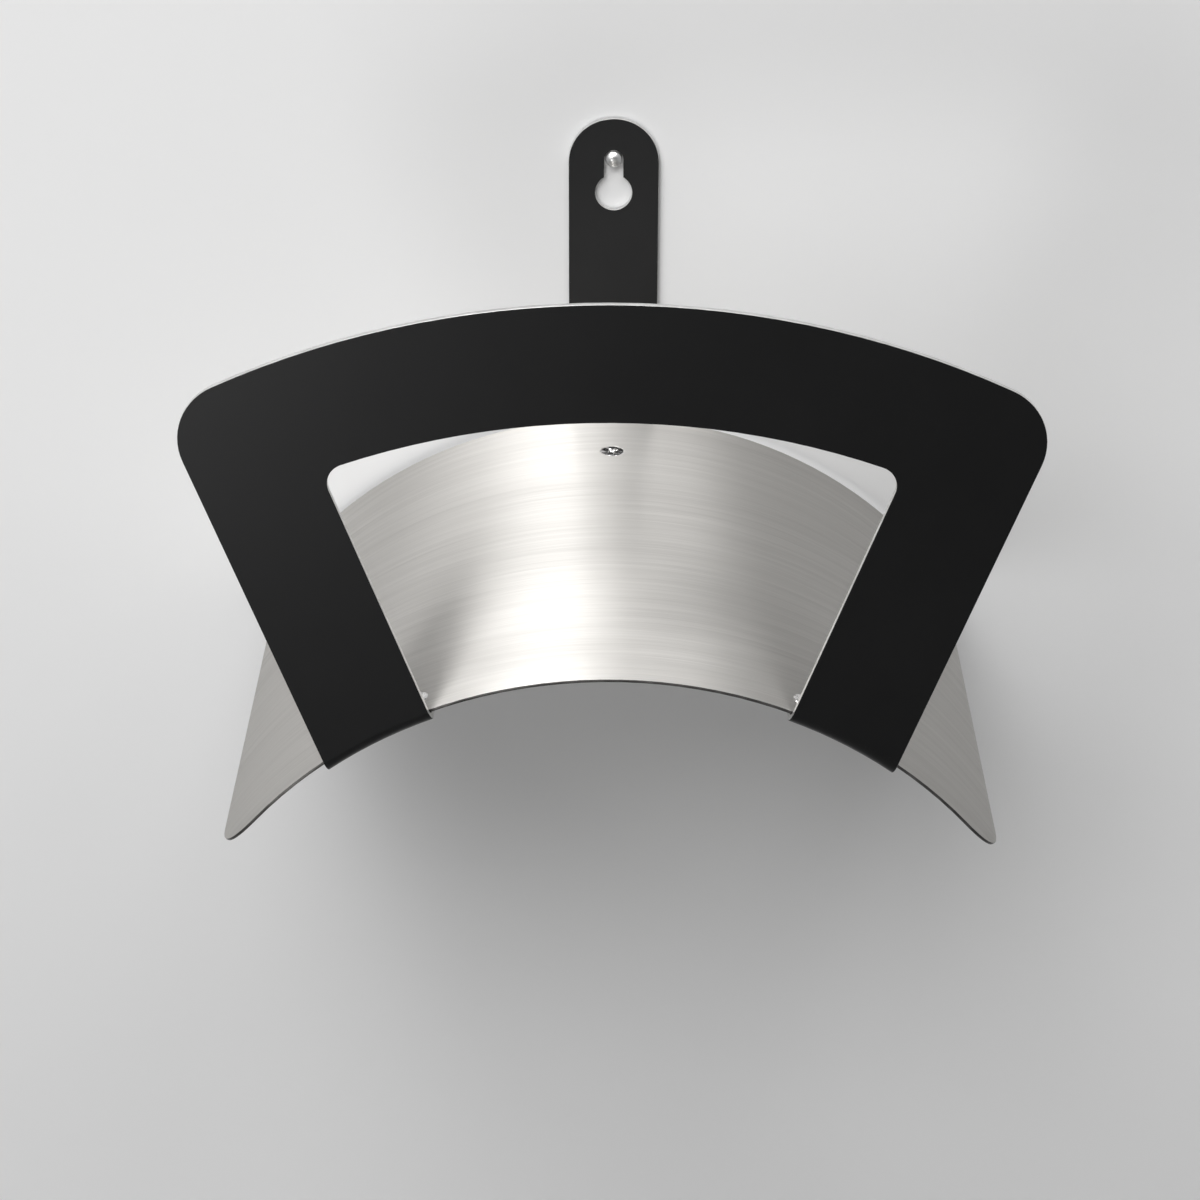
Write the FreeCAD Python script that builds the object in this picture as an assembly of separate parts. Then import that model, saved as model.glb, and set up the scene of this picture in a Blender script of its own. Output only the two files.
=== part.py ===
import FreeCAD, Part
import math
import os

# Hanger: a keyhole strip, a curved saddle and a black front guard.
# Millimetres. Origin on the strip's rear plane, in the middle of the keyhole's round hole.
# +X to the right, -Y to the front, +Z up. The saddle's arc axis runs along Y.

# Black steel sheet, shared by the strip and the guard
sheet_thickness = 2.0
bend_inner_radius = 2.0

# Saddle
saddle_radius = 142.0
saddle_thickness = 1.0
saddle_half_angle = 55.5
saddle_corner_radius = 18.0
saddle_drop = 80.9

# Front guard
guard_reach = 200.0
guard_outer_radius = 259.0
guard_band_width = 35.0
guard_corner_radius = 18.0
window_corner_radius = 6.0
leg_width = 35.0
leg_lean = 20.5
leg_inner_offset = 3.2
guard_tab_length = 24.0
guard_tab_corner_radius = 4.0

# Keyhole strip
strip_width = 30.0
strip_top_above_keyhole = 25.5
strip_tab_length = 48.0
strip_tab_corner_radius = 6.0
keyhole_radius = 6.15
slot_width = 6.3
slot_rise = 11.5

# Countersunk screws and their nuts
screw_radius = 2.0
screw_length = 6.0
screw_head_radius = 4.0
recess_length = 4.6
recess_width = 0.9
recess_depth = 1.2
screw_tip_chamfer = 0.4
nut_across_flats = 7.0
nut_height = 2.2
nut_chamfer = 0.5
rear_screw_reach = 32.0
front_screw_setback = 13.0
front_screw_edge_distance = 5.0

# Pin in the slot
pin_radius = 2.75
pin_stand_out = 2.1
pin_dome_height = 1.1

# Clearances
seat_gap = 0.1
edge_gap = 0.04
hole_gap = 0.15
head_gap = 0.08
thread_gap = 0.04
pin_gap = 0.05

# Places worked out from the sizes above
axis_z = -(saddle_drop + saddle_radius)
bend_outer_radius = bend_inner_radius + sheet_thickness
tab_top_radius = saddle_radius - saddle_thickness - seat_gap
tab_bottom_radius = tab_top_radius - sheet_thickness
bend_start_radius = tab_bottom_radius + bend_outer_radius
saddle_setback = edge_gap + bend_inner_radius - math.sqrt(
    bend_inner_radius ** 2 - (bend_inner_radius - seat_gap) ** 2
)
saddle_back_y = -(sheet_thickness + saddle_setback)
saddle_front_y = -(guard_reach - sheet_thickness - saddle_setback)
window_radius = guard_outer_radius - guard_band_width
leg_outer_offset = leg_inner_offset + leg_width
leg_middle_offset = leg_inner_offset + leg_width / 2
leg_screw_angle = leg_lean + math.degrees(math.asin(leg_middle_offset / saddle_radius))
screw_step_angle = math.degrees((leg_width / 2 - front_screw_edge_distance) / saddle_radius)
front_screw_y = front_screw_setback - guard_reach

# Cutting tools run this far past the metal that they cut
overrun = 5.0

# Round cutting tools are turned by this angle, so that their seams miss the sheet's straight lines
seam_turn = 37.0

X_AXIS = FreeCAD.Vector(1, 0, 0)
Y_AXIS = FreeCAD.Vector(0, 1, 0)
Z_AXIS = FreeCAD.Vector(0, 0, 1)
ORIGIN = FreeCAD.Vector(0, 0, 0)
ARC_CENTRE = FreeCAD.Vector(0, 0, axis_z)


def around_axis(y, radius, angle):
    """Point at a depth, a radius and an angle from straight up about the arc's axis."""
    turn = math.radians(angle)
    return FreeCAD.Vector(radius * math.sin(turn), y, axis_z + radius * math.cos(turn))


def outward(angle):
    turn = math.radians(angle)
    return FreeCAD.Vector(math.sin(turn), 0, math.cos(turn))


def drum(radius, front_y, back_y):
    """Solid cylinder about the arc's axis between two depths."""
    start = FreeCAD.Vector(0, front_y, axis_z)
    return Part.makeCylinder(radius, back_y - front_y, start, Y_AXIS)


def prism(points, front_y, back_y):
    """Straight-sided block from (x, z) points, drawn about the arc's centre."""
    corners = [FreeCAD.Vector(x, front_y, axis_z + z) for x, z in points]
    outline = Part.makePolygon(corners + corners[:1])
    return Part.Face(outline).extrude(Y_AXIS * (back_y - front_y))


def mirrored(shape):
    return shape.mirror(ORIGIN, X_AXIS)


def fillet_depth_edges(shape, radius, above_z):
    """Round the straight edges that run along Y above a height."""
    chosen = []
    for edge in shape.Edges:
        first = edge.Vertexes[0].Point
        last = edge.Vertexes[-1].Point
        along_y = abs(first.x - last.x) < 1e-6 and abs(first.z - last.z) < 1e-6
        if along_y and first.z > above_z:
            chosen.append(edge)
    return shape.makeFillet(radius, chosen)


def leg_edge_x(offset, z):
    """Sideways place of a leg's straight edge at a height over the arc's centre."""
    lean = math.radians(leg_lean)
    return (offset + z * math.sin(lean)) / math.cos(lean)


def leg_block(left_side, left_offset, right_offset, top_z, front_y, back_y):
    """Block between two leg edges, from the arc's centre up to a height."""
    points = [
        (left_side * leg_edge_x(left_offset, 0.0), 0.0),
        (left_side * leg_edge_x(left_offset, top_z), top_z),
        (leg_edge_x(right_offset, top_z), top_z),
        (leg_edge_x(right_offset, 0.0), 0.0),
    ]
    return prism(points, front_y, back_y)


def bent_tab(face_y, direction, length, limit, corner_radius):
    """Rounded fold and curved tab that follows the saddle's underside.

    The section is drawn straight above the arc's axis, swept about that axis
    and trimmed by the limit block. face_y is the sheet's outer face.
    """
    swing = saddle_half_angle
    bend_y = face_y + direction * bend_outer_radius
    end_y = face_y + direction * length
    inner_y = face_y + direction * sheet_thickness
    diagonal = math.sqrt(0.5)

    def at(y, radius):
        return around_axis(y, radius, -swing)

    outer_arc = Part.Arc(
        at(face_y, bend_start_radius),
        at(bend_y - direction * bend_outer_radius * diagonal,
           bend_start_radius - bend_outer_radius * diagonal),
        at(bend_y, tab_bottom_radius),
    )
    inner_arc = Part.Arc(
        at(bend_y, tab_top_radius),
        at(bend_y - direction * bend_inner_radius * diagonal,
           bend_start_radius - bend_inner_radius * diagonal),
        at(inner_y, bend_start_radius),
    )
    edges = [
        outer_arc.toShape(),
        Part.makeLine(at(bend_y, tab_bottom_radius), at(end_y, tab_bottom_radius)),
        Part.makeLine(at(end_y, tab_bottom_radius), at(end_y, tab_top_radius)),
        Part.makeLine(at(end_y, tab_top_radius), at(bend_y, tab_top_radius)),
        inner_arc.toShape(),
        Part.makeLine(at(inner_y, bend_start_radius), at(face_y, bend_start_radius)),
    ]
    section = Part.Face(Part.Wire(edges))
    swept = section.revolve(ARC_CENTRE, Y_AXIS, 2 * swing)
    tab = swept.common(limit)
    corners = []
    for edge in tab.Edges:
        ends = [vertex.Point for vertex in edge.Vertexes]
        at_tip = all(abs(point.y - end_y) < 1e-4 for point in ends)
        if at_tip and edge.Length < sheet_thickness * 1.5:
            corners.append(edge)
    return tab.makeFillet(corner_radius, corners)


def screw_hole(angle, y):
    """Countersunk clearance hole through the saddle and the tab below it."""
    mouth_radius = screw_head_radius + head_gap
    hole_radius = screw_radius + hole_gap
    cone_depth = mouth_radius - hole_radius
    inward = outward(angle) * -1
    above = around_axis(y, saddle_radius + overrun, angle)
    cone = Part.makeCone(mouth_radius + overrun, hole_radius, cone_depth + overrun, above, inward)
    shaft = Part.makeCylinder(hole_radius, screw_length + 2 * overrun, above, inward)
    hole = cone.fuse(shaft)
    hole.rotate(above, inward, seam_turn)
    return hole


def screw(angle, y):
    """Countersunk screw with a cross recess, flush with the saddle's top."""
    inward = outward(angle) * -1
    top = around_axis(y, saddle_radius, angle)
    head_depth = screw_head_radius - screw_radius
    head = Part.makeCone(screw_head_radius, screw_radius, head_depth, top, inward)
    shank = Part.makeCylinder(screw_radius, screw_length, top, inward)
    body = head.fuse(shank).removeSplitter()
    end_edges = [edge for edge in body.Edges if is_far_rim(edge, top, inward)]
    body = body.makeChamfer(screw_tip_chamfer, end_edges)
    for turn in (0, 90):
        bar = Part.makeBox(
            recess_length, recess_width, recess_depth + overrun,
            FreeCAD.Vector(-recess_length / 2, -recess_width / 2, -recess_depth),
        )
        bar.rotate(ORIGIN, Z_AXIS, turn)
        bar.rotate(ORIGIN, Y_AXIS, angle)
        bar.translate(top)
        body = body.cut(bar)
    return body


def is_far_rim(edge, top, inward):
    centre = edge.CenterOfMass
    return abs((centre - top).dot(inward) - screw_length) < 1e-4


def nut(angle, y):
    """Hexagon nut whose rim touches the tab's hollow underside."""
    corner_radius = nut_across_flats / 2 / math.cos(math.pi / 6)
    seat_radius = math.sqrt(tab_bottom_radius ** 2 - corner_radius ** 2)
    points = []
    for step in range(7):
        turn = math.radians(60 * step)
        points.append(FreeCAD.Vector(corner_radius * math.cos(turn), corner_radius * math.sin(turn), 0))
    body = Part.Face(Part.makePolygon(points)).extrude(Z_AXIS * -nut_height)
    rounding = Part.makeCone(
        corner_radius - nut_chamfer, corner_radius + nut_height - nut_chamfer, nut_height,
        FreeCAD.Vector(0, 0, -nut_height), Z_AXIS,
    )
    bore = Part.makeCylinder(screw_radius + thread_gap, nut_height + 2 * overrun,
                             FreeCAD.Vector(0, 0, -nut_height - overrun), Z_AXIS)
    body = body.common(rounding).cut(bore)
    body.rotate(ORIGIN, Y_AXIS, angle)
    body.translate(around_axis(y, seat_radius, angle))
    return body


def corner_cutter(side, edge_y, inward_y):
    """Block with a round bite that trims one corner of the saddle."""
    radius = saddle_corner_radius
    reach = radius + overrun
    block = Part.makeBox(reach, reach, 4 * overrun, FreeCAD.Vector(-radius, -overrun, -2 * overrun))
    bite = Part.makeCylinder(radius, 4 * overrun, FreeCAD.Vector(-radius, radius, -2 * overrun), Z_AXIS)
    cutter = block.cut(bite)
    if inward_y < 0:
        cutter = cutter.mirror(ORIGIN, Y_AXIS)
    cutter.rotate(ORIGIN, Y_AXIS, saddle_half_angle)
    cutter.translate(around_axis(edge_y, saddle_radius, saddle_half_angle))
    if side < 0:
        cutter = mirrored(cutter)
    return cutter


def make_saddle(holes):
    """Thin arched sheet with round corners and countersunk holes."""
    corners = [
        around_axis(saddle_front_y, saddle_radius, -saddle_half_angle),
        around_axis(saddle_back_y, saddle_radius, -saddle_half_angle),
        around_axis(saddle_back_y, saddle_radius - saddle_thickness, -saddle_half_angle),
        around_axis(saddle_front_y, saddle_radius - saddle_thickness, -saddle_half_angle),
    ]
    section = Part.Face(Part.makePolygon(corners + corners[:1]))
    sheet = section.revolve(ARC_CENTRE, Y_AXIS, 2 * saddle_half_angle)
    for side in (-1, 1):
        sheet = sheet.cut(corner_cutter(side, saddle_front_y, 1))
        sheet = sheet.cut(corner_cutter(side, saddle_back_y, -1))
    for hole in holes:
        sheet = sheet.cut(hole)
    return sheet


def make_guard(holes):
    """Arched band with two leaning legs, each folded back under the saddle."""
    front_y = -guard_reach
    back_y = front_y + sheet_thickness
    top_z = guard_outer_radius + overrun
    tool_front_y = front_y - overrun
    tool_back_y = back_y + overrun
    outline = drum(guard_outer_radius, front_y, back_y).common(
        leg_block(-1, leg_outer_offset, leg_outer_offset, top_z, tool_front_y, tool_back_y)
    )
    outline = fillet_depth_edges(outline, guard_corner_radius, axis_z + saddle_radius)
    window = drum(window_radius, tool_front_y, tool_back_y).common(
        leg_block(-1, leg_inner_offset, leg_inner_offset, top_z, tool_front_y, tool_back_y)
    )
    window = fillet_depth_edges(window, window_corner_radius, axis_z + saddle_radius)
    below = drum(bend_start_radius, tool_front_y, tool_back_y)
    face = outline.cut([window, below])
    limit = leg_block(1, leg_inner_offset, leg_outer_offset, bend_start_radius + overrun,
                      tool_front_y, front_y + guard_tab_length + overrun)
    tab = bent_tab(front_y, 1, guard_tab_length, limit, guard_tab_corner_radius)
    return face.fuse([tab, mirrored(tab)]).cut(holes)


def make_strip(holes):
    """Round-topped strip with a keyhole, bent forward under the saddle."""
    half = strip_width / 2
    top_z = strip_top_above_keyhole - half - axis_z
    flat = prism([(-half, 0), (-half, top_z), (half, top_z), (half, 0)], -sheet_thickness, 0)
    top_centre = FreeCAD.Vector(0, -sheet_thickness, axis_z + top_z)
    round_top = Part.makeCylinder(half, sheet_thickness, top_centre, Y_AXIS)
    below = drum(bend_start_radius, -sheet_thickness - overrun, overrun)
    hole_centre = FreeCAD.Vector(0, -sheet_thickness, 0)
    keyhole = Part.makeCylinder(keyhole_radius, sheet_thickness, hole_centre, Y_AXIS)
    slot_corner = FreeCAD.Vector(-slot_width / 2, -sheet_thickness, 0)
    slot = Part.makeBox(slot_width, sheet_thickness, slot_rise, slot_corner)
    slot_end = Part.makeCylinder(
        slot_width / 2, sheet_thickness, FreeCAD.Vector(0, -sheet_thickness, slot_rise), Y_AXIS
    )
    plate = flat.fuse(round_top).removeSplitter().cut([below, keyhole, slot, slot_end])
    limit = prism(
        [(-half, 0), (-half, saddle_radius + overrun), (half, saddle_radius + overrun), (half, 0)],
        -strip_tab_length - overrun, overrun,
    )
    tab = bent_tab(0.0, -1, strip_tab_length, limit, strip_tab_corner_radius)
    return plate.fuse(tab).cut(holes)


def make_wall_pin():
    """Plain pin with a domed end, with the slot's top resting on it."""
    rise = slot_rise + slot_width / 2 - pin_radius - pin_gap
    length = sheet_thickness + pin_stand_out - pin_dome_height
    dome_radius = (pin_radius ** 2 + pin_dome_height ** 2) / (2 * pin_dome_height)
    start = FreeCAD.Vector(0, 0, rise)
    shaft = Part.makeCylinder(pin_radius, length + pin_dome_height, start, Y_AXIS * -1)
    ball = Part.makeSphere(dome_radius, FreeCAD.Vector(0, -(length + pin_dome_height - dome_radius), rise))
    body = Part.makeCylinder(pin_radius, length, start, Y_AXIS * -1)
    return body.fuse(shaft.common(ball)).removeSplitter()


def one_solid(shape):
    """Tidy a result down to its single solid."""
    tidy = shape.removeSplitter()
    assert len(tidy.Solids) == 1 and tidy.isValid()
    return tidy.Solids[0]


def main():
    """Build every piece and write one STEP file per piece."""
    fixings = {"rear": (0.0, -rear_screw_reach)}
    for side, sign in (("left", -1), ("right", 1)):
        for place, step in (("inner", -1), ("outer", 1)):
            angle = sign * (leg_screw_angle + step * screw_step_angle)
            fixings[side + "_" + place] = (angle, front_screw_y)
    holes = {name: screw_hole(*place) for name, place in fixings.items()}
    front_holes = [hole for name, hole in holes.items() if name != "rear"]

    pieces = {
        "saddle": make_saddle(list(holes.values())),
        "front_guard": make_guard(front_holes),
        "wall_strip": make_strip([holes["rear"]]),
        "wall_pin": make_wall_pin(),
    }
    for name, place in fixings.items():
        pieces[name + "_screw"] = screw(*place)
        pieces[name + "_nut"] = nut(*place)

    os.makedirs("parts", exist_ok=True)
    for name, shape in pieces.items():
        solid = one_solid(shape)
        solid.exportStep("parts/" + name + ".step")
        box = solid.BoundBox
        print(name, round(solid.Volume, 1), "mm3",
              [round(value, 2) for value in (box.XMin, box.YMin, box.ZMin, box.XMax, box.YMax, box.ZMax)])


main()
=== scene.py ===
import math

import bmesh
import bpy
from mathutils import Matrix, Vector


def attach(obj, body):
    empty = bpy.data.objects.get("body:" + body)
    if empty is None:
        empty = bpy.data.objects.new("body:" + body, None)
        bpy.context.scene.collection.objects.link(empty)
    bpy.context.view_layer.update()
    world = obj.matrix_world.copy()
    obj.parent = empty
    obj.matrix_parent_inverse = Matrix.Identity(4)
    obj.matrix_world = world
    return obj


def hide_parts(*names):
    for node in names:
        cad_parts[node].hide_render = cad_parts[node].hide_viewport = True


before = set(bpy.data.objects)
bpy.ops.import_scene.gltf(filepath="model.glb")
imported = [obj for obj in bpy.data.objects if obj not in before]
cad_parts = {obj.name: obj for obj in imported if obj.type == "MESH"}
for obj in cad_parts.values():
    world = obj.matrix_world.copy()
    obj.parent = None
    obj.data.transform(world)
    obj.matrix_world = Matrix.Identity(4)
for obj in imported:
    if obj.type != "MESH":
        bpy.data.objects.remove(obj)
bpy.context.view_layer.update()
print("frame loaded:", len(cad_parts), "nodes")

# The saddle's arc runs about a line along Y at this height, in metres
arcHeight = -0.2229
arcRadius = 0.142
frontFace = -0.2  # the guard's front face, in Y


# Helpers for node trees and meshes

def addNode(tree, kind, values=None, **settings):
    node = tree.nodes.new(kind)
    for key, value in settings.items():
        setattr(node, key, value)
    for key, value in (values or {}).items():
        if isinstance(value, bpy.types.NodeSocket):
            tree.links.new(value, node.inputs[key])
        else:
            node.inputs[key].default_value = value
    return node


def calc(tree, operation, first, second=0.0):
    return addNode(tree, "ShaderNodeMath", {0: first, 1: second}, operation=operation).outputs[0]


def newGroup(name, kind, inputs, outputs):
    tree = bpy.data.node_groups.new(name, kind)
    for label, (socketType, default) in inputs.items():
        socket = tree.interface.new_socket(name=label, in_out="INPUT", socket_type=socketType)
        if default is not None:
            socket.default_value = default
    for label, socketType in outputs.items():
        tree.interface.new_socket(name=label, in_out="OUTPUT", socket_type=socketType)
    return tree, tree.nodes.new("NodeGroupInput").outputs, tree.nodes.new("NodeGroupOutput").inputs


def newMaterial(name):
    material = bpy.data.materials.new(name)
    material.use_nodes = True
    tree = material.node_tree
    shader = tree.nodes["Principled BSDF"]
    place = addNode(tree, "ShaderNodeTexCoord").outputs["Object"]
    return material, tree, shader, place


def plainMesh(obj):
    depsgraph = bpy.context.evaluated_depsgraph_get()
    mesh = bpy.data.meshes.new_from_object(obj.evaluated_get(depsgraph))
    obj.modifiers.clear()
    obj.data = mesh
    return obj


def newPiece(name, mesh):
    obj = bpy.data.objects.new(name, mesh)
    bpy.context.scene.collection.objects.link(obj)
    return obj


# Shader groups shared by the finishes

def makeGrainGroup():  # fine bumps, slow clouding and smooth waves, for coats and bare metal
    noise = {"grainDetail": 2.0, "grainRoughness": 0.5, "cloudDetail": 4.0, "cloudRoughness": 0.6,
             "middle": 0.5, "fineShare": 0.4}
    tree, given, result = newGroup("surfaceGrain", "ShaderNodeTree", {
        "Vector": ("NodeSocketVector", None),
        "Grain Scale": ("NodeSocketFloat", 1500.0),
        "Cloud Scale": ("NodeSocketFloat", 30.0),
        "Middle": ("NodeSocketFloat", 0.4),
        "Spread": ("NodeSocketFloat", 0.1),
    }, {"Roughness": "NodeSocketFloat", "Height": "NodeSocketFloat", "Clouds": "NodeSocketFloat",
        "Waves": "NodeSocketFloat"})
    grain = addNode(tree, "ShaderNodeTexNoise", {
        "Vector": given["Vector"], "Scale": given["Grain Scale"],
        "Detail": noise["grainDetail"], "Roughness": noise["grainRoughness"]})
    clouds = addNode(tree, "ShaderNodeTexNoise", {
        "Vector": given["Vector"], "Scale": given["Cloud Scale"],
        "Detail": noise["cloudDetail"], "Roughness": noise["cloudRoughness"]})
    waves = addNode(tree, "ShaderNodeTexNoise", {
        "Vector": given["Vector"], "Scale": given["Cloud Scale"], "Detail": 0.0})
    swing = calc(tree, "SUBTRACT", clouds.outputs["Fac"], noise["middle"])
    swing = calc(tree, "MULTIPLY", swing, given["Spread"])
    fine = calc(tree, "SUBTRACT", grain.outputs["Fac"], noise["middle"])
    fine = calc(tree, "MULTIPLY", fine, given["Spread"])
    both = calc(tree, "ADD", swing, calc(tree, "MULTIPLY", fine, noise["fineShare"]))
    tree.links.new(calc(tree, "ADD", given["Middle"], both), result["Roughness"])
    tree.links.new(grain.outputs["Fac"], result["Height"])
    tree.links.new(clouds.outputs["Fac"], result["Clouds"])
    tree.links.new(waves.outputs["Fac"], result["Waves"])
    return tree


def makeBrushGroup():  # hairlines that follow the saddle's arc
    hair = {"fineDetail": 3.0, "fineRoughness": 0.6, "wideDetail": 2.0, "wideStretch": 3.0,
            "wideShift": 0.35, "wideDensity": 0.12, "fineShare": 0.65, "wideShare": 0.35, "middle": 0.5}
    tree, given, result = newGroup("arcBrushing", "ShaderNodeTree", {
        "Vector": ("NodeSocketVector", None),
        "Arc Height": ("NodeSocketFloat", arcHeight),
        "Arc Radius": ("NodeSocketFloat", arcRadius),
        "Line Density": ("NodeSocketFloat", 3000.0),
        "Line Stretch": ("NodeSocketFloat", 0.008),
        "Middle": ("NodeSocketFloat", 0.3),
        "Spread": ("NodeSocketFloat", 0.1),
    }, {"Roughness": "NodeSocketFloat", "Height": "NodeSocketFloat", "Lines": "NodeSocketFloat"})
    parts = addNode(tree, "ShaderNodeSeparateXYZ", {"Vector": given["Vector"]}).outputs
    up = calc(tree, "SUBTRACT", parts["Z"], given["Arc Height"])
    angle = calc(tree, "ARCTAN2", parts["X"], up)
    along = calc(tree, "MULTIPLY", angle, given["Arc Radius"])
    along = calc(tree, "MULTIPLY", along, given["Line Stretch"])
    fineVector = addNode(tree, "ShaderNodeCombineXYZ", {"X": along, "Y": parts["Y"], "Z": 0.0}).outputs[0]
    fine = addNode(tree, "ShaderNodeTexNoise", {
        "Vector": fineVector, "Scale": given["Line Density"],
        "Detail": hair["fineDetail"], "Roughness": hair["fineRoughness"]})
    wideVector = addNode(tree, "ShaderNodeCombineXYZ", {
        "X": calc(tree, "MULTIPLY", along, hair["wideStretch"]), "Y": parts["Y"],
        "Z": hair["wideShift"]}).outputs[0]
    wideDensity = calc(tree, "MULTIPLY", given["Line Density"], hair["wideDensity"])
    wide = addNode(tree, "ShaderNodeTexNoise", {
        "Vector": wideVector, "Scale": wideDensity, "Detail": hair["wideDetail"]})
    lines = calc(tree, "ADD", calc(tree, "MULTIPLY", fine.outputs["Fac"], hair["fineShare"]),
                 calc(tree, "MULTIPLY", wide.outputs["Fac"], hair["wideShare"]))
    swing = calc(tree, "MULTIPLY", calc(tree, "SUBTRACT", lines, hair["middle"]), given["Spread"])
    tree.links.new(calc(tree, "ADD", given["Middle"], swing), result["Roughness"])
    tree.links.new(fine.outputs["Fac"], result["Height"])
    tree.links.new(lines, result["Lines"])
    return tree


grainGroup = makeGrainGroup()
brushGroup = makeBrushGroup()


# Finishes

def tint(tree, mask, low, high):  # colour that follows a mask between two shades
    band = {"start": 0.3, "end": 0.7}
    ramp = addNode(tree, "ShaderNodeValToRGB", {"Fac": mask})
    ramp.color_ramp.elements[0].position = band["start"]
    ramp.color_ramp.elements[0].color = (*low, 1.0)
    ramp.color_ramp.elements[1].position = band["end"]
    ramp.color_ramp.elements[1].color = (*high, 1.0)
    return ramp.outputs["Color"]


def makeBlackCoat(name, dark, light):
    coat = {"grain": 2200.0, "clouds": 25.0, "roughness": 0.34, "spread": 0.07, "bump": 0.10,
            "bumpDepth": 0.00002, "specular": 0.22}
    material, tree, shader, place = newMaterial(name)
    grain = addNode(tree, "ShaderNodeGroup", {}, node_tree=grainGroup)
    grain.inputs["Grain Scale"].default_value = coat["grain"]
    grain.inputs["Cloud Scale"].default_value = coat["clouds"]
    grain.inputs["Middle"].default_value = coat["roughness"]
    grain.inputs["Spread"].default_value = coat["spread"]
    tree.links.new(place, grain.inputs["Vector"])
    bump = addNode(tree, "ShaderNodeBump", {
        "Height": grain.outputs["Height"], "Strength": coat["bump"], "Distance": coat["bumpDepth"]})
    shade = tint(tree, grain.outputs["Clouds"], dark, light)
    tree.links.new(shade, shader.inputs["Base Color"])
    tree.links.new(grain.outputs["Roughness"], shader.inputs["Roughness"])
    tree.links.new(bump.outputs["Normal"], shader.inputs["Normal"])
    shader.inputs["Specular IOR Level"].default_value = coat["specular"]
    return material


def makeBareMetal(name, metal):  # bright cut edges, screws and pin
    relief = {"waveStrength": 1.0, "bumpDepth": 0.00002}
    material, tree, shader, place = newMaterial(name)
    grain = addNode(tree, "ShaderNodeGroup", {}, node_tree=grainGroup)
    grain.inputs["Grain Scale"].default_value = metal["grain"]
    grain.inputs["Cloud Scale"].default_value = metal["clouds"]
    grain.inputs["Middle"].default_value = metal["roughness"]
    grain.inputs["Spread"].default_value = metal["spread"]
    tree.links.new(place, grain.inputs["Vector"])
    waves = addNode(tree, "ShaderNodeBump", {
        "Height": grain.outputs["Waves"], "Strength": relief["waveStrength"], "Distance": metal["waves"]})
    bump = addNode(tree, "ShaderNodeBump", {
        "Height": grain.outputs["Height"], "Strength": metal["bump"], "Distance": relief["bumpDepth"],
        "Normal": waves.outputs["Normal"]})
    shade = tint(tree, grain.outputs["Clouds"], metal["dark"], metal["light"])
    tree.links.new(shade, shader.inputs["Base Color"])
    tree.links.new(grain.outputs["Roughness"], shader.inputs["Roughness"])
    tree.links.new(bump.outputs["Normal"], shader.inputs["Normal"])
    shader.inputs["Metallic"].default_value = 1.0
    return material


def makeBrushedSteel():
    steel = {"dark": (0.50, 0.485, 0.465), "light": (0.66, 0.645, 0.62), "density": 3200.0,
             "stretch": 0.008, "roughness": 0.43, "spread": 0.12, "bump": 0.12, "bumpDepth": 0.00002,
             "anisotropy": 1.0}
    material, tree, shader, place = newMaterial("brushedSteel")
    brush = addNode(tree, "ShaderNodeGroup", {}, node_tree=brushGroup)
    brush.inputs["Line Density"].default_value = steel["density"]
    brush.inputs["Line Stretch"].default_value = steel["stretch"]
    brush.inputs["Middle"].default_value = steel["roughness"]
    brush.inputs["Spread"].default_value = steel["spread"]
    tree.links.new(place, brush.inputs["Vector"])
    bump = addNode(tree, "ShaderNodeBump", {
        "Height": brush.outputs["Height"], "Strength": steel["bump"], "Distance": steel["bumpDepth"]})
    acrossLines = addNode(tree, "ShaderNodeCombineXYZ", {"X": 0.0, "Y": 1.0, "Z": 0.0})
    shade = tint(tree, brush.outputs["Lines"], steel["dark"], steel["light"])
    tree.links.new(shade, shader.inputs["Base Color"])
    tree.links.new(brush.outputs["Roughness"], shader.inputs["Roughness"])
    tree.links.new(bump.outputs["Normal"], shader.inputs["Normal"])
    tree.links.new(acrossLines.outputs[0], shader.inputs["Tangent"])
    shader.inputs["Metallic"].default_value = 1.0
    shader.inputs["Anisotropic"].default_value = steel["anisotropy"]
    return material


blackCoat = makeBlackCoat("blackCoating", (0.0022, 0.0022, 0.0023), (0.0032, 0.0032, 0.0033))
# The strip wears the guard's black coat painted about five times lighter, as painted light for the light
# the strip catches
stripPaintedLightCoat = makeBlackCoat("stripCoatingPaintedLight", (0.0115, 0.0115, 0.0117), (0.0140, 0.0140, 0.0142))
brushedSteel = makeBrushedSteel()
# Bright metal for the cut edges: bare metal, partly painted highlight for the light the edges catch
bareEdgeAndHighlight = makeBareMetal("bareCutEdgeAndHighlight", {
    "dark": (0.62, 0.62, 0.61), "light": (0.80, 0.80, 0.79), "grain": 4000.0, "clouds": 220.0,
    "roughness": 0.36, "spread": 0.2, "bump": 0.15, "waves": 0.00002})
steelEdge = makeBareMetal("saddleCutEdge", {
    "dark": (0.06, 0.058, 0.056), "light": (0.12, 0.116, 0.112), "grain": 4000.0, "clouds": 220.0,
    "roughness": 0.45, "spread": 0.2, "bump": 0.15, "waves": 0.00002})
brightSteel = makeBareMetal("brightSteel", {
    "dark": (0.62, 0.615, 0.605), "light": (0.78, 0.775, 0.765), "grain": 5000.0, "clouds": 420.0,
    "roughness": 0.27, "spread": 0.12, "bump": 0.05, "waves": 0.0015})
polishedSteel = makeBareMetal("polishedSteel", {
    "dark": (0.70, 0.70, 0.69), "light": (0.84, 0.84, 0.83), "grain": 6000.0, "clouds": 500.0,
    "roughness": 0.30, "spread": 0.08, "bump": 0.04, "waves": 0.0002})
print("materials made")


# Sheet pieces: merged copies of the frame's nodes with rounded edges; cut edges are bright bare metal
# where they catch the light, partly painted highlight, and keep the coat where they sit in shade, as
# painted shade

def arcOutward(point):
    return Vector((point.x, 0.0, point.z - arcHeight)).normalized()


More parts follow.
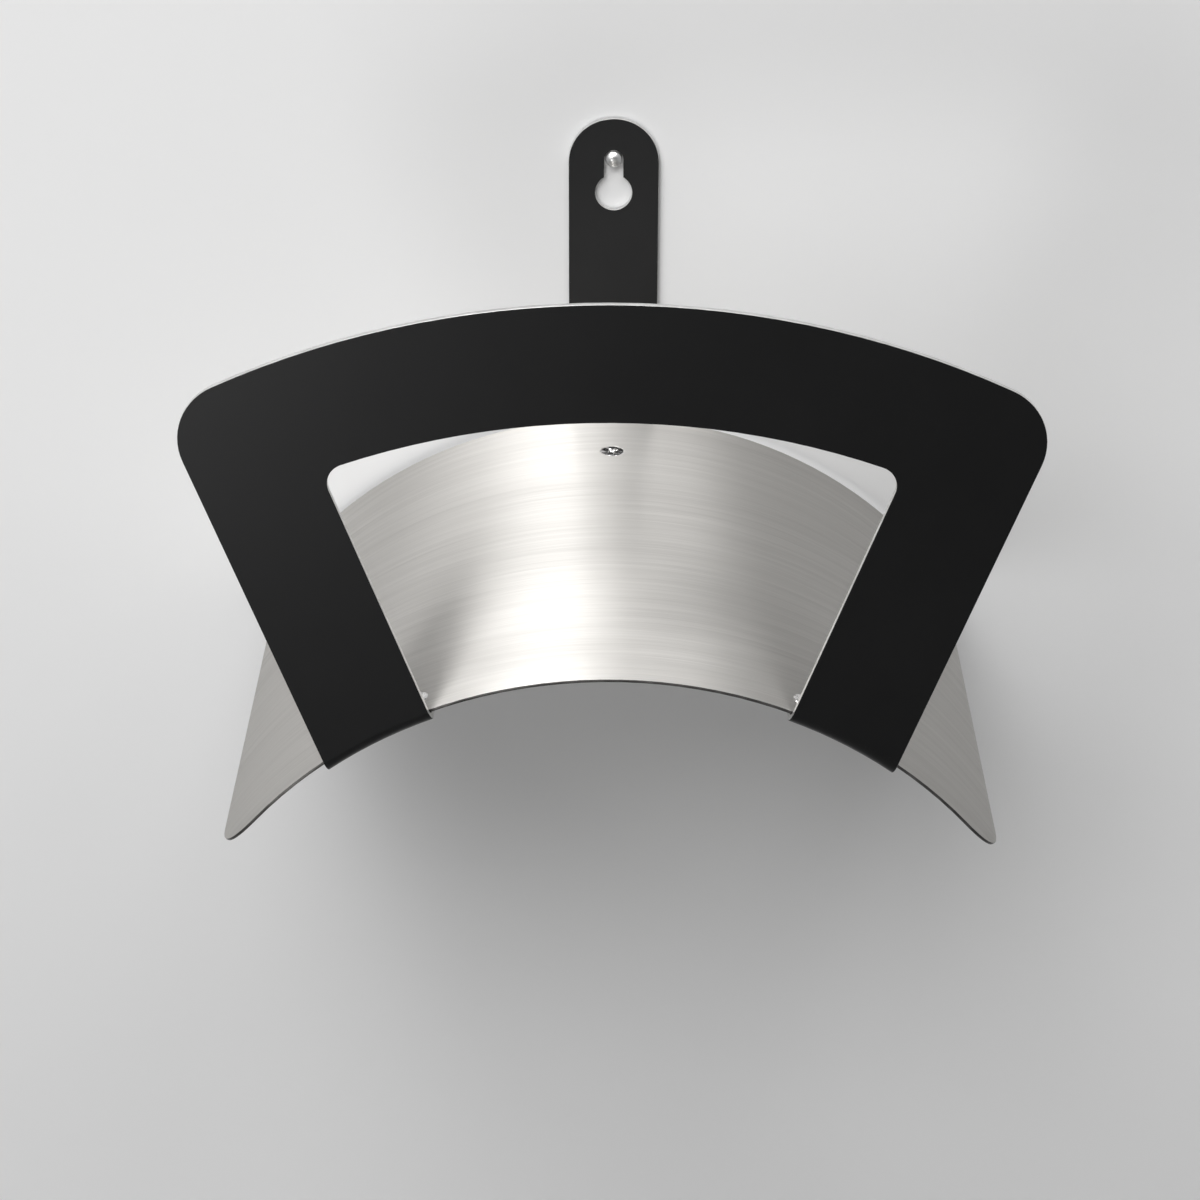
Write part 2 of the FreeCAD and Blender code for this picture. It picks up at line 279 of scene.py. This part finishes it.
def foldedOutward(point, faceY, inward):
    fold = {"radius": 0.004, "startRadius": 0.1429}
    outward = arcOutward(point)
    radius = math.hypot(point.x, point.z - arcHeight)
    depth = (point.y - faceY) * inward
    if radius >= fold["startRadius"]:
        return Vector((0.0, -inward, 0.0))
    if depth >= fold["radius"]:
        return -outward
    return (Vector((0.0, inward * (depth - fold["radius"]), 0.0))
            + outward * (radius - fold["startRadius"])).normalized()


def guardOutward(point):
    return foldedOutward(point, frontFace, 1.0)


def stripOutward(point):
    return foldedOutward(point, 0.0, -1.0)


def dressSheet(pieceName, sheet):
    edges = {"merge": 0.00002, "flat": 0.4, "width": 0.0002, "segments": 2, "sharp": 32.0,
             "cutLimit": 0.5, "faceLimit": 0.985, "smooth": 40.0}
    outwardAt = sheet["outward"]
    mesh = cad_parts[sheet["node"]].data.copy()
    mesh.name = pieceName
    shape = bmesh.new()
    shape.from_mesh(mesh)
    bmesh.ops.remove_doubles(shape, verts=shape.verts, dist=edges["merge"])
    bmesh.ops.dissolve_limit(shape, angle_limit=math.radians(edges["flat"]),
                             verts=shape.verts, edges=shape.edges)
    shape.to_mesh(mesh)
    shape.free()
    mesh.materials.clear()
    for finish in sheet["finishes"]:
        mesh.materials.append(finish)
    piece = newPiece(pieceName, mesh)
    bevel = piece.modifiers.new("edgeRounding", "BEVEL")
    bevel.width = edges["width"]
    bevel.segments = edges["segments"]
    bevel.limit_method = "ANGLE"
    bevel.angle_limit = math.radians(edges["sharp"])
    bevel.use_clamp_overlap = False
    plainMesh(piece)
    mesh = piece.data
    mesh.shade_smooth()
    mesh.set_sharp_from_angle(angle=math.radians(edges["smooth"]))
    normals = [Vector(corner.vector) for corner in mesh.corner_normals]
    for face in mesh.polygons:
        outward = outwardAt(face.center)
        facing = face.normal.dot(outward)
        radius = math.hypot(face.center.x, face.center.z - arcHeight)
        isCut = abs(facing) < edges["cutLimit"]
        inBand = sheet["bareLitFrom"] <= face.center.y <= sheet["bareLitTo"]
        # Cut faces outside the lit band keep the coat as painted shade, since they sit in shade
        isBareLit = isCut and inBand and radius > sheet["bareLitRadius"]
        face.material_index = 1 if isBareLit else 0
        if abs(facing) > edges["faceLimit"]:
            for corner in face.loop_indices:
                place = mesh.vertices[mesh.loops[corner].vertex_index].co
                normals[corner] = outwardAt(place) * (1.0 if facing > 0.0 else -1.0)
    mesh.normals_split_custom_set(normals)
    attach(piece, "root")
    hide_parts(sheet["node"])
    print(pieceName, len(mesh.polygons), "faces")


# Cut edges are bright bare metal, partly painted highlight, in the band between the From and To depths
# and outside the Radius, where they catch the light, and keep the coat elsewhere as painted shade, where
# they sit in shade
sheets = {
    "saddlePlate": {"node": "saddle", "outward": arcOutward, "finishes": (brushedSteel, steelEdge),
                    "slot": "brushed_steel", "bareLitFrom": frontFace, "bareLitTo": 0.0, "bareLitRadius": 0.0},
    "frontGuardPlate": {"node": "front_guard", "outward": guardOutward, "finishes": (blackCoat, bareEdgeAndHighlight),
                        "slot": "black_coating", "bareLitFrom": -0.201, "bareLitTo": -0.1965,
                        "bareLitRadius": 0.1424},
    "keyholeStrip": {"node": "wall_strip", "outward": stripOutward, "finishes": (stripPaintedLightCoat, bareEdgeAndHighlight),
                     "slot": "black_coating", "bareLitFrom": -0.0035, "bareLitTo": 0.001,
                     "bareLitRadius": 0.1424},
}
for sheetName, sheetSettings in sheets.items():
    dressSheet(sheetName, sheetSettings)


# Screws and nuts: one node tree each, repeated at the five fixings

def fixingPlaces(distance, spins):
    fixing = {"rearReach": 0.032, "frontReach": 0.187, "legAngle": 28.88, "stepAngle": 5.044}
    spots = [(0.0, fixing["rearReach"])]
    for side in (-1.0, 1.0):
        for step in (-1.0, 1.0):
            spots.append((side * (fixing["legAngle"] + step * fixing["stepAngle"]), fixing["frontReach"]))
    points = []
    turns = []
    for (angle, reach), spin in zip(spots, spins):
        tilt = math.radians(angle)
        points.append((distance * math.sin(tilt), -reach, arcHeight + distance * math.cos(tilt)))
        turn = Matrix.Rotation(tilt, 3, "Y") @ Matrix.Rotation(math.radians(spin), 3, "Z")
        turns.extend(turn.to_euler("XYZ"))
    mesh = bpy.data.meshes.new("fixingPlaces")
    mesh.from_pydata(points, [], [])
    mesh.attributes.new("turn", "FLOAT_VECTOR", "POINT").data.foreach_set("vector", turns)
    return mesh


def moved(tree, geometry, height, turn=(0.0, 0.0, 0.0)):
    lift = addNode(tree, "ShaderNodeCombineXYZ", {"Z": height}).outputs[0]
    return addNode(tree, "GeometryNodeTransform", {
        "Geometry": geometry, "Translation": lift, "Rotation": turn}).outputs[0]


def cone(tree, low, high, depth, sides=48):
    return addNode(tree, "GeometryNodeMeshCone", {
        "Vertices": sides, "Radius Bottom": low, "Radius Top": high, "Depth": depth}).outputs["Mesh"]


def combine(tree, operation, first, others):
    node = addNode(tree, "GeometryNodeMeshBoolean", {}, operation=operation, solver="EXACT")
    if first is not None:
        tree.links.new(first, node.inputs["Mesh 1"])
    for other in others:
        tree.links.new(other, node.inputs["Mesh 2"])
    return node.outputs["Mesh"]


def placeCopies(tree, given, result, body):
    flat = addNode(tree, "GeometryNodeSetShadeSmooth", {"Geometry": body, "Shade Smooth": False})
    turn = addNode(tree, "GeometryNodeInputNamedAttribute", {"Name": "turn"}, data_type="FLOAT_VECTOR")
    copies = addNode(tree, "GeometryNodeInstanceOnPoints", {
        "Points": given["Places"], "Instance": flat.outputs[0], "Rotation": turn.outputs["Attribute"]})
    real = addNode(tree, "GeometryNodeRealizeInstances", {"Geometry": copies.outputs[0]})
    finish = addNode(tree, "GeometryNodeSetMaterial", {
        "Geometry": real.outputs[0], "Material": given["Finish"]})
    tree.links.new(finish.outputs[0], result["Geometry"])


def makeScrewTree():  # head, shank and thread along Z, with the head's top at zero
    cut = {"corner": 0.7071, "foot": 0.3, "overrun": 1.05, "sunk": 0.98, "wingSides": 4,
           "socket": 0.27, "socketSides": 16}
    thread = {"steps": 24, "sides": 6}
    tree, given, result = newGroup("countersunkScrews", "GeometryNodeTree", {
        "Places": ("NodeSocketGeometry", None),
        "Head Radius": ("NodeSocketFloat", 0.0),
        "Rim Chamfer": ("NodeSocketFloat", 0.0),
        "Core Radius": ("NodeSocketFloat", 0.0),
        "Length": ("NodeSocketFloat", 0.0),
        "Thread Pitch": ("NodeSocketFloat", 0.0),
        "Thread Height": ("NodeSocketFloat", 0.0),
        "Recess Length": ("NodeSocketFloat", 0.0),
        "Recess Width": ("NodeSocketFloat", 0.0),
        "Recess Depth": ("NodeSocketFloat", 0.0),
        "Finish": ("NodeSocketMaterial", None),
    }, {"Geometry": "NodeSocketGeometry"})
    headRadius, chamfer, coreRadius = given["Head Radius"], given["Rim Chamfer"], given["Core Radius"]
    rimLevel = calc(tree, "MULTIPLY", chamfer, -1.0)
    rimRadius = calc(tree, "SUBTRACT", headRadius, chamfer)
    rim = moved(tree, cone(tree, headRadius, rimRadius, chamfer), rimLevel)
    coneDepth = calc(tree, "SUBTRACT", headRadius, coreRadius)
    under = moved(tree, cone(tree, headRadius, coreRadius, coneDepth), rimLevel, (math.pi, 0.0, 0.0))
    tipLevel = calc(tree, "SUBTRACT", chamfer, given["Length"])
    shankDepth = calc(tree, "SUBTRACT", calc(tree, "SUBTRACT", given["Length"], chamfer), chamfer)
    shank = moved(tree, cone(tree, coreRadius, coreRadius, shankDepth), tipLevel)
    tipRadius = calc(tree, "SUBTRACT", coreRadius, chamfer)
    tip = moved(tree, cone(tree, coreRadius, tipRadius, chamfer), tipLevel, (math.pi, 0.0, 0.0))
    body = combine(tree, "UNION", None, [rim, under, shank, tip])
    depth, reach = given["Recess Depth"], calc(tree, "MULTIPLY", given["Recess Length"], cut["corner"])
    foot = calc(tree, "MULTIPLY", reach, cut["foot"])
    wing = cone(tree, foot, reach, calc(tree, "MULTIPLY", depth, cut["overrun"]), cut["wingSides"])
    wing = moved(tree, wing, calc(tree, "MULTIPLY", depth, -1.0), (0.0, 0.0, math.pi / 4))
    slimness = calc(tree, "DIVIDE", given["Recess Width"], given["Recess Length"])
    slim = addNode(tree, "ShaderNodeCombineXYZ", {"X": 1.0, "Y": slimness, "Z": 1.0}).outputs[0]
    wing = addNode(tree, "GeometryNodeTransform", {"Geometry": wing, "Scale": slim}).outputs[0]
    socketRadius = calc(tree, "MULTIPLY", given["Recess Length"], cut["socket"])
    socket = cone(tree, 0.0, socketRadius, depth, cut["socketSides"])
    bars = [wing, moved(tree, wing, 0.0, (0.0, 0.0, math.pi / 2)),
            moved(tree, socket, calc(tree, "MULTIPLY", depth, -cut["sunk"]))]
    body = combine(tree, "DIFFERENCE", body, bars)
    threadDepth = calc(tree, "SUBTRACT", calc(tree, "SUBTRACT", shankDepth, coneDepth), chamfer)
    turns = calc(tree, "DIVIDE", threadDepth, given["Thread Pitch"])
    ridge = addNode(tree, "GeometryNodeCurveSpiral", {
        "Resolution": thread["steps"], "Rotations": turns,
        "Start Radius": coreRadius, "End Radius": coreRadius, "Height": threadDepth}).outputs[0]
    profile = addNode(tree, "GeometryNodeCurvePrimitiveCircle", {
        "Resolution": thread["sides"], "Radius": given["Thread Height"]}).outputs[0]
    coil = addNode(tree, "GeometryNodeCurveToMesh", {
        "Curve": ridge, "Profile Curve": profile, "Fill Caps": True}).outputs[0]
    whole = addNode(tree, "GeometryNodeJoinGeometry")
    tree.links.new(body, whole.inputs[0])
    tree.links.new(moved(tree, coil, calc(tree, "ADD", tipLevel, chamfer)), whole.inputs[0])
    placeCopies(tree, given, result, whole.outputs[0])
    return tree


def makeNutTree():  # hexagon with chamfered corners, hanging below its place
    nut = {"sides": 6, "flare": 1.7, "boreSides": 40, "boreLength": 2.0, "boreSunk": 1.5}
    tree, given, result = newGroup("hexagonNuts", "GeometryNodeTree", {
        "Places": ("NodeSocketGeometry", None),
        "Corner Radius": ("NodeSocketFloat", 0.0),
        "Height": ("NodeSocketFloat", 0.0),
        "Bore Radius": ("NodeSocketFloat", 0.0),
        "Corner Chamfer": ("NodeSocketFloat", 0.0),
        "Finish": ("NodeSocketMaterial", None),
    }, {"Geometry": "NodeSocketGeometry"})
    height, corner = given["Height"], given["Corner Radius"]
    bottom = calc(tree, "MULTIPLY", height, -1.0)
    block = moved(tree, cone(tree, corner, corner, height, nut["sides"]), bottom)
    narrow = calc(tree, "SUBTRACT", corner, given["Corner Chamfer"])
    wide = calc(tree, "ADD", narrow, calc(tree, "MULTIPLY", height, nut["flare"]))
    lower = moved(tree, cone(tree, narrow, wide, height), bottom)
    upper = moved(tree, cone(tree, wide, narrow, height), bottom)
    body = combine(tree, "INTERSECT", None, [block, lower, upper])
    boreLength = calc(tree, "MULTIPLY", height, nut["boreLength"])
    bore = cone(tree, given["Bore Radius"], given["Bore Radius"], boreLength, nut["boreSides"])
    bore = moved(tree, bore, calc(tree, "MULTIPLY", height, -nut["boreSunk"]))
    placeCopies(tree, given, result, combine(tree, "DIFFERENCE", body, [bore]))
    return tree


def repeatAtFixings(pieceName, tree, distance, spins, sizes, kind):
    sharpAngle = math.radians(28.0)
    piece = newPiece(pieceName, fixingPlaces(distance, spins))
    modifier = piece.modifiers.new("repeat", "NODES")
    modifier.node_group = tree
    for item in tree.interface.items_tree:
        if item.in_out == "INPUT" and item.name in sizes:
            modifier[item.identifier] = sizes[item.name]
    plainMesh(piece)
    piece.data.name = pieceName
    piece.data.shade_smooth()
    piece.data.set_sharp_from_angle(angle=sharpAngle)
    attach(piece, "root")
    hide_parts(*[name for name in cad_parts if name.endswith(kind)])
    print(pieceName, len(piece.data.polygons), "faces")


screwSizes = {"Head Radius": 0.00388, "Rim Chamfer": 0.0002, "Core Radius": 0.00172, "Length": 0.006,
              "Thread Pitch": 0.0007, "Thread Height": 0.00025, "Recess Length": 0.0046,
              "Recess Width": 0.0009, "Recess Depth": 0.0012, "Finish": brightSteel}
screwSpins = (24.0, 62.0, 15.0, 38.0, 71.0)  # how far each cross recess is turned, in degrees
nutSizes = {"Corner Radius": 0.00404, "Height": 0.0022, "Bore Radius": 0.00204,
            "Corner Chamfer": 0.00035, "Finish": brightSteel}
nutSpins = (0.0, 0.0, 0.0, 0.0, 0.0)
nutRadius = 0.13884  # from the arc's line to the nuts' upper faces
repeatAtFixings("countersunkScrews", makeScrewTree(), arcRadius, screwSpins, screwSizes, "_screw")
repeatAtFixings("hexagonNuts", makeNutTree(), nutRadius, nutSpins, nutSizes, "_nut")


# Pin: turned profile with a rounded edge and a polished dome

def makePin():
    pin = {"radius": 0.00275, "reach": 0.0041, "dome": 0.0011, "edge": 0.00025, "rise": 0.01185,
           "steps": 10, "sides": 64, "edgeInset": 0.3, "edgeDrop": 0.7, "sharp": 50.0}
    ball = (pin["radius"] ** 2 + pin["dome"] ** 2) / (2 * pin["dome"])
    swing = math.asin(pin["radius"] / ball)
    outline = []
    for step in range(1, pin["steps"]):
        turn = swing * step / pin["steps"]
        outline.append((ball * math.sin(turn), pin["reach"] - ball + ball * math.cos(turn)))
    rim = pin["reach"] - pin["dome"] - pin["edge"]
    outline.append((pin["radius"] - pin["edge"] * pin["edgeInset"], rim + pin["edge"] * pin["edgeDrop"]))
    outline.append((pin["radius"], rim))
    outline.append((pin["radius"], 0.0))
    shape = bmesh.new()
    rows = []
    for radius, reach in outline:
        row = []
        for side in range(pin["sides"]):
            turn = 2 * math.pi * side / pin["sides"]
            across, up = radius * math.cos(turn), radius * math.sin(turn)
            row.append(shape.verts.new((across, -reach, pin["rise"] + up)))
        rows.append(row)
    for first, second in zip(rows, rows[1:]):
        for side in range(pin["sides"]):
            following = (side + 1) % pin["sides"]
            shape.faces.new((first[side], first[following], second[following], second[side]))
    shape.faces.new(rows[0])
    shape.faces.new(rows[-1])
    bmesh.ops.recalc_face_normals(shape, faces=shape.faces)
    mesh = bpy.data.meshes.new("keyholePin")
    shape.to_mesh(mesh)
    shape.free()
    mesh.materials.append(polishedSteel)
    mesh.shade_smooth()
    mesh.set_sharp_from_angle(angle=math.radians(pin["sharp"]))
    piece = newPiece("keyholePin", mesh)
    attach(piece, "root")
    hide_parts("wall_pin")


makePin()
print("fasteners made")


# Backdrop and floor

def makeStageMaterial(name, colour, seeThroughBack):
    paint = {"scale": 3.0, "detail": 3.0, "shade": 0.97, "roughness": 0.9, "specular": 0.1}
    material, tree, shader, place = newMaterial(name)
    noise = addNode(tree, "ShaderNodeTexNoise", {
        "Vector": place, "Scale": paint["scale"], "Detail": paint["detail"]})
    shade = tint(tree, noise.outputs["Fac"], tuple(part * paint["shade"] for part in colour), colour)
    tree.links.new(shade, shader.inputs["Base Color"])
    shader.inputs["Roughness"].default_value = paint["roughness"]
    shader.inputs["Specular IOR Level"].default_value = paint["specular"]
    if seeThroughBack:
        clear = addNode(tree, "ShaderNodeBsdfTransparent")
        back = addNode(tree, "ShaderNodeNewGeometry").outputs["Backfacing"]
        mix = addNode(tree, "ShaderNodeMixShader", {0: back, 1: shader.outputs[0], 2: clear.outputs[0]})
        tree.links.new(mix.outputs[0], tree.nodes["Material Output"].inputs["Surface"])
    return material


def makeStage():
    stage = {"backdropY": 0.0006, "width": 3.6, "floorZ": -1.3, "top": 2.0, "front": -2.2, "back": 1.6,
             "backdropColour": (0.84, 0.84, 0.84), "floorColour": (0.58, 0.58, 0.58)}
    half = stage["width"] / 2
    backdropMesh = bpy.data.meshes.new("backdrop")
    backdropMesh.from_pydata([
        (-half, stage["backdropY"], stage["floorZ"]), (half, stage["backdropY"], stage["floorZ"]),
        (half, stage["backdropY"], stage["top"]), (-half, stage["backdropY"], stage["top"]),
    ], [], [(0, 1, 2, 3)])
    backdrop = newPiece("backdrop", backdropMesh)
    backdropMesh.materials.append(makeStageMaterial("backdropPaint", stage["backdropColour"], True))
    floorMesh = bpy.data.meshes.new("floor")
    floorMesh.from_pydata([
        (-half, stage["front"], stage["floorZ"]), (half, stage["front"], stage["floorZ"]),
        (half, stage["back"], stage["floorZ"]), (-half, stage["back"], stage["floorZ"]),
    ], [], [(0, 1, 2, 3)])
    floor = newPiece("floor", floorMesh)
    floorMesh.materials.append(makeStageMaterial("floorPaint", stage["floorColour"], False))


makeStage()


# Lamps

def addLamps():
    target = Vector((0.0, -0.1, -0.06))
    lamps = {
        "topWide": {"place": (-0.10, -0.50, 1.40), "size": (1.8, 0.7), "power": 1.0},
        "topLeft": {"place": (-0.30, -0.45, 1.35), "size": (0.5, 0.8), "power": 7.8},
        "keyFront": {"place": (-0.35, -1.90, 1.50), "size": (1.0, 1.0), "power": 20.5},
        "keyHigh": {"place": (-0.90, -1.50, 1.30), "size": (0.9, 0.9), "power": 12.0},
        "rightNear": {"place": (0.35, -0.90, 1.20), "size": (0.4, 0.6), "power": 3.6},
        "leftSide": {"place": (-1.30, -1.30, 0.35), "size": (0.7, 0.7), "power": 1.0},
        "coatGlow": {"place": (-0.50, -1.48, -0.33), "size": (0.5, 0.5), "power": 4.2},
    }
    for name, lamp in lamps.items():
        light = bpy.data.lights.new(name, "AREA")
        light.shape = "RECTANGLE"
        light.size, light.size_y = lamp["size"]
        light.energy = lamp["power"]
        obj = bpy.data.objects.new(name, light)
        obj.location = lamp["place"]
        aim = target - Vector(lamp["place"])
        obj.rotation_euler = aim.to_track_quat("-Z", "Y").to_euler()
        bpy.context.scene.collection.objects.link(obj)


addLamps()


def makeWorld():  # dim air that shows paler to the camera and in reflections
    air = {"colour": (0.9, 0.91, 0.92, 1.0), "seen": 0.40, "lit": 0.02}
    world = bpy.data.worlds.new("studioAir")
    world.use_nodes = True
    tree = world.node_tree
    rays = addNode(tree, "ShaderNodeLightPath").outputs
    seen = calc(tree, "MAXIMUM", rays["Is Camera Ray"], rays["Is Glossy Ray"])
    seen = calc(tree, "MAXIMUM", seen, rays["Is Transmission Ray"])
    extra = calc(tree, "MULTIPLY", seen, air["seen"] - air["lit"])
    strength = calc(tree, "ADD", extra, air["lit"])
    background = tree.nodes["Background"]
    background.inputs["Color"].default_value = air["colour"]
    tree.links.new(strength, background.inputs["Strength"])
    bpy.context.scene.world = world


makeWorld()
bpy.context.scene.view_settings.view_transform = "Standard"


# Camera: solved from the photograph's edges

def addCamera():
    view = {"place": (0.00062, -1.00385, 0.34511), "pitch": 26.38, "turn": 0.00475, "roll": 0.00306,
            "lens": 94.48, "sensor": 36.0, "clip": 0.01}
    camera = bpy.data.cameras.new("photoCamera")
    camera.lens = view["lens"]
    camera.sensor_width = view["sensor"]
    camera.clip_start = view["clip"]
    obj = bpy.data.objects.new("photoCamera", camera)
    turn = (Matrix.Rotation(view["turn"], 4, "Z")
            @ Matrix.Rotation(math.radians(90.0 - view["pitch"]), 4, "X")
            @ Matrix.Rotation(view["roll"], 4, "Z"))
    obj.matrix_world = Matrix.Translation(view["place"]) @ turn
    bpy.context.scene.collection.objects.link(obj)
    bpy.context.scene.camera = obj


addCamera()
print("stage, lamps and camera set")
